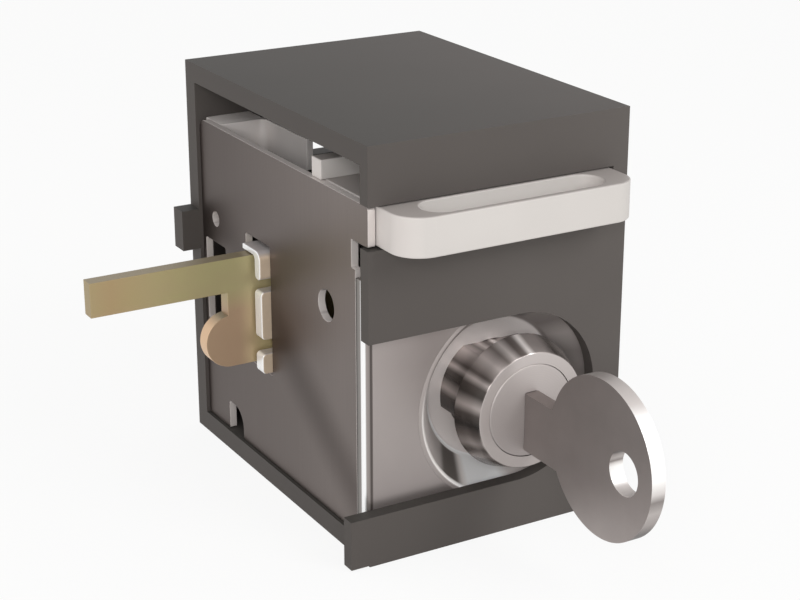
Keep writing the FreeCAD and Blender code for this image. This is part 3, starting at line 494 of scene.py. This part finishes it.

# Lock barrel.
# Nickel-plated turned brass: a tapered head proud of the cup, a collar with flats behind it, and the threaded shank.
# Turned and polished; the taper carries painted reflections of the room, narrow black and white streaks that run to
# the axis.
turned_nickel, nodes, shader, place, facing = new_material("polished_turned_nickel", Roughness=0.26)
centred = add_node(nodes, "VectorMath", {0: place, 1: (LOCK_X, 0.0, LOCK_Z)}, operation="SUBTRACT")
split = add_node(nodes, "SeparateXYZ", {0: centred.outputs[0]})
angle = turn_about(nodes, split)
# Painted reflections: black and white streaks round the taper, made stronger by TAPER_GAIN.
taper_tones = [(0, "#6b6461"), (40, "#7a7370"), (62, "#4d4744"), (74, "#8d8582"), (86, "#928a87"),
               (91, "#ece5e2"), (96, "#6d6562"), (101, "#5d5552"), (108, "#b3aba8"), (115, "#6a625f"),
               (126, "#a89f9c"), (134, "#7b7370"), (140, "#3f3835"), (145, "#938b88"), (150, "#3c3633"),
               (158, "#2f2a27"), (168, "#8b8380"), (175, "#3b3532"), (186, "#1f1b19"), (196, "#57504d"),
               (205, "#8d8582"), (213, "#5b5451"), (222, "#8a827f"), (232, "#5a5350"), (246, "#7d7572"),
               (262, "#4a4441"), (285, "#8f8784"), (310, "#5b5451"), (360, "#6b6461")]
taper = add_node(nodes, "ValToRGB", {"Fac": angle}, stops=round_stops(taper_tones))
# Painted light: the ring face that looks forward is lighter towards the top.
forward = add_node(nodes, "MapRange", {"Value": facing.outputs["Y"], "From Min": -0.8, "From Max": -0.93})
ring = tones_along(nodes, split.outputs["Z"], -11.0, 11.0, [(0.0, "#a49c99"), (1.0, "#bab2af")])
TAPER_GAIN = 1.5
taper = add_node(nodes, "VectorMath", {0: taper.outputs[0], "Scale": TAPER_GAIN}, operation="SCALE")
tone = add_node(nodes, "Mix", {0: forward.outputs[0], 6: taper.outputs[0], 7: ring}, data_type="RGBA")
nodes.links.new(tone.outputs[2], shader.inputs["Base Color"])
shine = add_node(nodes, "MapRange", {"Value": forward.outputs[0], "To Min": 0.5, "To Max": 0.3})
nodes.links.new(shine.outputs[0], shader.inputs["Metallic"])

BARREL_FACE = -4.0
HEAD_SEAT = -2.14
FACE_RADIUS = 11.36
HEAD_BORE = 9.16
BORE = 7.06
TAPER_BACK = 1.7
TAPER_RADIUS = 13.2
CUP_FLOOR = 10.0
BODY_END = 36.0
BODY_RADIUS = 9.4
COLLAR_RADIUS = 11.2
COLLAR_FLAT = 9.4
COLLAR_LOW = 2.2


def collar_radius(radius, depth, angle):
    """The collar's radius is cut to its flats: a flat's distance over the sine, and never less than the shank's."""
    up = np.sin(angle)
    limit = np.where(up > 0, COLLAR_FLAT, COLLAR_LOW) / np.maximum(np.abs(up), 1e-6)
    cut = np.maximum(np.minimum(radius, limit), BODY_RADIUS)
    return np.where(np.isclose(radius, COLLAR_RADIUS), cut, radius)


nose = rounded([(HEAD_BORE, BARREL_FACE), (FACE_RADIUS, BARREL_FACE), (TAPER_RADIUS, TAPER_BACK), (11.0, 3.0)],
               [0, 0.35, 0, 0], steps=4)[:6]
barrel_loop = np.vstack([
    nose, [(TAPER_RADIUS, TAPER_BACK - 0.4), (TAPER_RADIUS, TAPER_BACK), (COLLAR_RADIUS, TAPER_BACK),
           (COLLAR_RADIUS, 5.8), (COLLAR_RADIUS, CUP_FLOOR), (BODY_RADIUS, CUP_FLOOR), (BODY_RADIUS, BODY_END),
           (BORE, BODY_END), (BORE, HEAD_SEAT), (HEAD_BORE, HEAD_SEAT)]]) + from_front
barrel = turned_piece("barrel_head", turned_nickel, barrel_loop, collar_radius, steps=240)
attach(barrel, "frame")
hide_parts("lock_barrel")

# Lock plug, nut and clip.
# The plug is turned brass with satin nickel on its face, which fine turning marks ring; the nut is plated alike.
satin_nickel, nodes, shader, place, facing = new_material("satin_turned_nickel", Metallic=0.45, Roughness=0.5)
centred = add_node(nodes, "VectorMath", {0: place, 1: (LOCK_X, 0.0, LOCK_Z)}, operation="SUBTRACT")
split = add_node(nodes, "SeparateXYZ", {0: centred.outputs[0]})
# Painted light: the plug's face is lighter towards the top.
face = tones_along(nodes, split.outputs["Z"], -9.0, 9.0, [(0.0, "#9f9795"), (1.0, "#bbb3b0")])
flattened = add_node(nodes, "VectorMath", {0: centred.outputs[0], 1: (1.0, 0.0, 1.0)}, operation="MULTIPLY")
reach_out = add_node(nodes, "VectorMath", {0: flattened.outputs[0]}, operation="LENGTH")
MARKS = 14.0  # radians of the sine to each millimetre of radius, which is a pitch of 0.45 mm
marks = add_node(nodes, "Math", {0: reach_out.outputs["Value"], 1: MARKS}, operation="MULTIPLY")
marks = add_node(nodes, "Math", {0: marks.outputs[0]}, operation="SINE")
shade = add_node(nodes, "MapRange", {"Value": marks.outputs[0], "From Min": -1.0, "From Max": 1.0, "To Min": 0.985,
                                     "To Max": 1.015})
tone = add_node(nodes, "VectorMath", {0: face, "Scale": shade.outputs[0]}, operation="SCALE")
nodes.links.new(tone.outputs[0], shader.inputs["Base Color"])
dress(satin_nickel, "lock_plug", "lock_nut", "plug_clip")

brass, nodes, shader, place, facing = new_material("stamped_wafer_brass", Metallic=1.0, Roughness=0.3)
nodes.links.new(clouded(nodes, place, 0.6, "#c79d4e", "#dcb569"), shader.inputs["Base Color"])
dress(brass, "wafers")

# Key.
# Stamped from nickel-plated sheet and tumbled: satin flat faces, and cut edges painted bright all round as highlights,
# white where they look up and dark where they look down.
# The faces are painted lighter towards the foot of the bow, a painted reflection of the pale floor they turn to.
key_nickel, nodes, shader, place, facing = new_material("stamped_key_nickel", Roughness=0.42)
split = add_node(nodes, "SeparateXYZ", {0: place})
# Painted light: the faces are lighter towards the foot of the bow.
broad = tones_along(nodes, split.outputs["Z"], 10.0, 42.0,
                    [(0.0, "#a49b98"), (1.0, "#7a726f"), (0.35, "#8f8683"), (0.7, "#7f7774")])
sideways = add_node(nodes, "Math", {0: facing.outputs["X"]}, operation="ABSOLUTE")
edge = add_node(nodes, "MapRange", {"Value": sideways.outputs[0], "From Min": 0.9, "From Max": 0.6})
neck = add_node(nodes, "MapRange", {"Value": split.outputs["Y"], "From Min": -54.0, "From Max": -51.0})
# Painted highlights on the edges by how far each looks up, dark below and white above; the neck's edges stay a plain
# grey.
edge_highlights = tones_along(nodes, facing.outputs["Z"], -1.0, 1.0,
                      [(0.0, "#57504d"), (1.0, "#b5aeab"), (0.16, "#5d5653"), (0.25, "#a39b98"), (0.34, "#b9b2af"),
                       (0.42, "#8f8885"), (0.47, "#d8d2cf"), (0.55, "#fdfbf9"), (0.86, "#fdfbf9"), (0.93, "#cfc8c5")])
rim = add_node(nodes, "Mix", {0: neck.outputs[0], 6: edge_highlights, 7: linear("#857c79")}, data_type="RGBA")
tone = add_node(nodes, "Mix", {0: edge.outputs[0], 6: broad, 7: rim.outputs[2]}, data_type="RGBA")
nodes.links.new(mottled(nodes, place, tone.outputs[2], 0.25, 3.0, 0.97, 1.03), shader.inputs["Base Color"])
shine = add_node(nodes, "MapRange", {"Value": edge.outputs[0], "To Min": 0.5, "To Max": 0.7})
nodes.links.new(shine.outputs[0], shader.inputs["Metallic"])
dress(key_nickel, "key")

# Bolt lever.
# Blanked steel plate with a yellow passivated zinc finish, which shows olive and tan clouds.
# Olive along the arm and tan on the deep body and the lobe; faces that look up are painted brown as shade, and the
# lobe's lower cut edge, where it looks left, is painted a brighter tan as a highlight.
yellow, nodes, shader, place, facing = new_material("yellow_passivated_zinc", Metallic=0.35, Roughness=0.45)
split = add_node(nodes, "SeparateXYZ", {0: place})
arm = tones_along(nodes, split.outputs["X"], LEFT - 35.0, LEFT + 1.0,
                  [(0.0, "#a5946c"), (1.0, "#b5ad80"), (0.12, "#a79069"), (0.38, "#aca072"), (0.7, "#aea678")])
drop = add_node(nodes, "MapRange", {"Value": split.outputs["Z"], "From Min": 42.0, "From Max": 37.0})
body = tones_along(nodes, split.outputs["X"], LEFT - 4.5, LEFT + 0.5, [(0.0, "#b2967a"), (1.0, "#b7a87c")])
tone = add_node(nodes, "Mix", {0: drop.outputs[0], 6: arm, 7: body}, data_type="RGBA")
haze = add_node(nodes, "TexNoise", {"Vector": place, "Scale": 0.11, "Detail": 2.0})
cloud = add_node(nodes, "MapRange", {"Value": haze.outputs["Fac"], "From Min": 0.35, "From Max": 0.7, "To Max": 0.25})
tone = add_node(nodes, "Mix", {0: cloud.outputs[0], 6: tone.outputs[2], 7: linear("#ab8f78")}, data_type="RGBA")
# Painted shade: faces that look up are painted a darker brown.
upward = add_node(nodes, "MapRange", {"Value": facing.outputs["Z"], "From Min": 0.5, "From Max": 0.9})
tone = add_node(nodes, "Mix", {0: upward.outputs[0], 6: tone.outputs[2], 7: linear("#8f8269")}, data_type="RGBA")
# Painted highlight: the lobe's lower cut edge that looks left is painted a brighter tan.
leftward = add_node(nodes, "MapRange", {"Value": facing.outputs["X"], "From Min": -0.3, "From Max": -0.8})
low_down = add_node(nodes, "MapRange", {"Value": split.outputs["Z"], "From Min": 39.0, "From Max": 37.0})
lobe_edge_highlight = add_node(nodes, "Math", {0: leftward.outputs[0], 1: low_down.outputs[0]}, operation="MULTIPLY")
outside = add_node(nodes, "MapRange", {"Value": split.outputs["X"], "From Min": LEFT - 7.0, "From Max": LEFT - 7.8})
lobe_edge_highlight = add_node(nodes, "Math", {0: lobe_edge_highlight.outputs[0], 1: outside.outputs[0]}, operation="MULTIPLY")
tone = add_node(nodes, "Mix", {0: lobe_edge_highlight.outputs[0], 6: tone.outputs[2], 7: linear("#e2bf9b")}, data_type="RGBA")
nodes.links.new(tone.outputs[2], shader.inputs["Base Color"])

LOBE_X, LOBE_Z, LOBE_RADIUS = -6.2, 30.95, 5.35
turn = np.radians(np.linspace(270, 96, 30))
lobe = np.column_stack([LOBE_X + LOBE_RADIUS * np.cos(turn), LOBE_Z + LOBE_RADIUS * np.sin(turn)])
TIP, LEVER_RIGHT = -34.7, 34.5
ARM_LOW, ARM_HIGH, BODY_LOW = 41.0, 47.9, LOBE_Z - LOBE_RADIUS
bar = rounded([(-6.75, ARM_LOW), (TIP, ARM_LOW), (TIP, ARM_HIGH), (LEVER_RIGHT, ARM_HIGH), (LEVER_RIGHT, BODY_LOW),
               (LOBE_X, BODY_LOW)], [0, 0, 0, 2.5, 2.5, 0])
lever_loop = np.vstack([bar, lobe[1:]])
guide_slot = rounded([(5.5, 42.32), (21.88, 42.32), (21.88, 46.48), (5.5, 46.48)], [2.07] * 4)
crank_slot = rounded([(24.12, 28.96), (28.76, 28.96), (28.76, 36.5), (24.12, 36.5)], [2.0] * 4)
slots = [guide_slot + plate_shift, crank_slot + plate_shift]
LEVER_FRONT, LEVER_BACK = FRONT + 44.0, FRONT + 47.1
lever = flat_piece("lever_plate", yellow, lever_loop + plate_shift, slots, "Y", LEVER_FRONT, LEVER_BACK, edge=0.1)
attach(lever, "lever")
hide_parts("bolt_lever")

# Lever guide.
# Bright plated steel: a comb of two fingers that stand before the lever, and a strip bent over its top as a hook.
# Its left ends are painted nearly white as a highlight; the faces beside the lever that look forward are painted in
# the lever's tan as a painted reflection.
bright, nodes, shader, place, facing = new_material("bright_plated_steel", Metallic=0.35, Roughness=0.3)
# Painted light by facing: left faces white as a highlight, forward faces tan as a reflection of the lever.
leftward = add_node(nodes, "MapRange", {"Value": facing.outputs["X"], "From Min": -0.2, "From Max": -0.6})
forward = add_node(nodes, "MapRange", {"Value": facing.outputs["Y"], "From Min": -0.6, "From Max": -0.95})
tone = add_node(nodes, "Mix", {0: forward.outputs[0], 6: linear("#cfc8c6"), 7: linear("#d9c5ad")}, data_type="RGBA")
tone = add_node(nodes, "Mix", {0: leftward.outputs[0], 6: tone.outputs[2], 7: linear("#ffffff")}, data_type="RGBA")
nodes.links.new(mottled(nodes, place, tone.outputs[2], 0.9, 2.0, 0.95, 1.0), shader.inputs["Base Color"])
FINGER_END, FINGER_ROOT, GUIDE_RIGHT = -1.3, 2.35, 8.25
comb = rounded([(GUIDE_RIGHT, 24.0), (FINGER_END, 24.0), (FINGER_END, 28.2), (FINGER_ROOT, 28.2),
                (FINGER_ROOT, 31.2), (FINGER_END, 31.2), (FINGER_END, 41.1), (FINGER_ROOT, 41.1),
                (FINGER_ROOT, 43.5), (GUIDE_RIGHT, 43.5)], [0, 0.9, 0.9, 0.3, 0.3, 0.9, 0.9, 0.3, 0, 0])
COMB_FRONT, COMB_BACK = FRONT + 40.4, FRONT + 43.3
fingers = flat_piece("guide_comb", bright, comb + plate_shift, [], "Y", COMB_FRONT, COMB_BACK, edge=0.25)
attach(fingers, "frame")
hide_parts("lever_guide")
strip = rounded([(40.4, 43.55), (42.6, 43.55), (42.6, 48.15), (47.9, 48.15), (47.9, 49.3), (40.4, 49.3)],
                [0.9, 0.9, 0.8, 0.3, 0.3, 1.8])
hook = flat_piece("guide_hook", bright, strip + shift, [], "X", LEFT - 1.5, LEFT + GUIDE_RIGHT, edge=0.25)
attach(hook, "frame")
foot = rounded([(33.5, 20.6), (40.39, 20.6), (40.39, 53.0), (33.5, 53.0)], [1.5, 0, 0, 1.5])
FOOT_OUTER = SIDE_INNER + 0.01
guide_foot = flat_piece("guide_foot", bright, foot + shift, [], "X", FOOT_OUTER, FOOT_OUTER + SHEET)
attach(guide_foot, "frame")

# Drive, studs and screws inside.
# Small turned and stamped steel parts with bright zinc: they show through the openings as soft grey metal.
zinc, nodes, shader, place, facing = new_material("bright_zinc_fasteners", Metallic=0.9, Roughness=0.3)
nodes.links.new(clouded(nodes, place, 0.5, "#a9a5a5", "#c6c3c3"), shader.inputs["Base Color"])
dress(zinc, "lock_washer", "drive_cam", "crank_pin", "cam_screw", "cam_washer", "guide_stud", "plate_screws",
      "bracket_screws")

# Padlock slider.
# Light grey moulded plastic with a satin skin; the grip's long edges are softly rounded by the mould.
# Upward faces are painted a shade darker than the front, as in the photograph, as painted shade; faces that look left
# are painted lighter, as painted light.
light, nodes, shader, place, facing = new_material("moulded_light_plastic", Roughness=0.45, IOR=1.5,
                                                   Specular_IOR_Level=0.4)
# Painted light and shade by facing: tops darker, left faces lighter.
upward = add_node(nodes, "MapRange", {"Value": facing.outputs["Z"], "From Min": 0.3, "From Max": 0.9})
leftward = add_node(nodes, "MapRange", {"Value": facing.outputs["X"], "From Min": -0.3, "From Max": -0.95})
tone = add_node(nodes, "Mix", {0: upward.outputs[0], 6: linear("#c5c0bc"), 7: linear("#a9a29e")}, data_type="RGBA")
tone = add_node(nodes, "Mix", {0: leftward.outputs[0], 6: tone.outputs[2], 7: linear("#d3ccc8")}, data_type="RGBA")
nodes.links.new(mottled(nodes, place, tone.outputs[2], 0.06, 2.0, 0.98, 1.02), shader.inputs["Base Color"])
GRIP_LEFT, GRIP_RIGHT = 2.45, 51.3
GRIP_FRONT, TAIL_END = -9.0, 23.5
SLIDER_LOW, SLIDER_HIGH = 61.4, 68.8
grip = rounded([(GRIP_LEFT, GRIP_FRONT), (GRIP_RIGHT, GRIP_FRONT), (GRIP_RIGHT, TAIL_END), (GRIP_LEFT, TAIL_END)],
               [5.8, 4.6, 0.3, 0.3])
shackle = rounded([(8.3, -7.7), (46.0, -7.7), (46.0, -0.2), (8.3, -0.2)], [3.74] * 4, steps=14)
slider = flat_piece("slider_grip", light, grip + corner, [shackle + corner], "Z", SLIDER_LOW, SLIDER_HIGH, edge=0.3)
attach(slider, "slider")
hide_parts("padlock_slider")
STOP_LEFT, STOP_RIGHT, STOP_TOP, STOP_THICK = 1.45, 44.0, 72.5, 3.6
stop = rounded([(STOP_LEFT, SLIDER_HIGH), (STOP_RIGHT, SLIDER_HIGH), (STOP_RIGHT, STOP_TOP), (STOP_LEFT, STOP_TOP)],
               [0, 0, 0.3, 0.3])
upstand = flat_piece("slider_stop", light, stop + plate_shift, [], "Y", FRONT + TAIL_END - STOP_THICK,
                     FRONT + TAIL_END, edge=0.15)
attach(upstand, "slider")
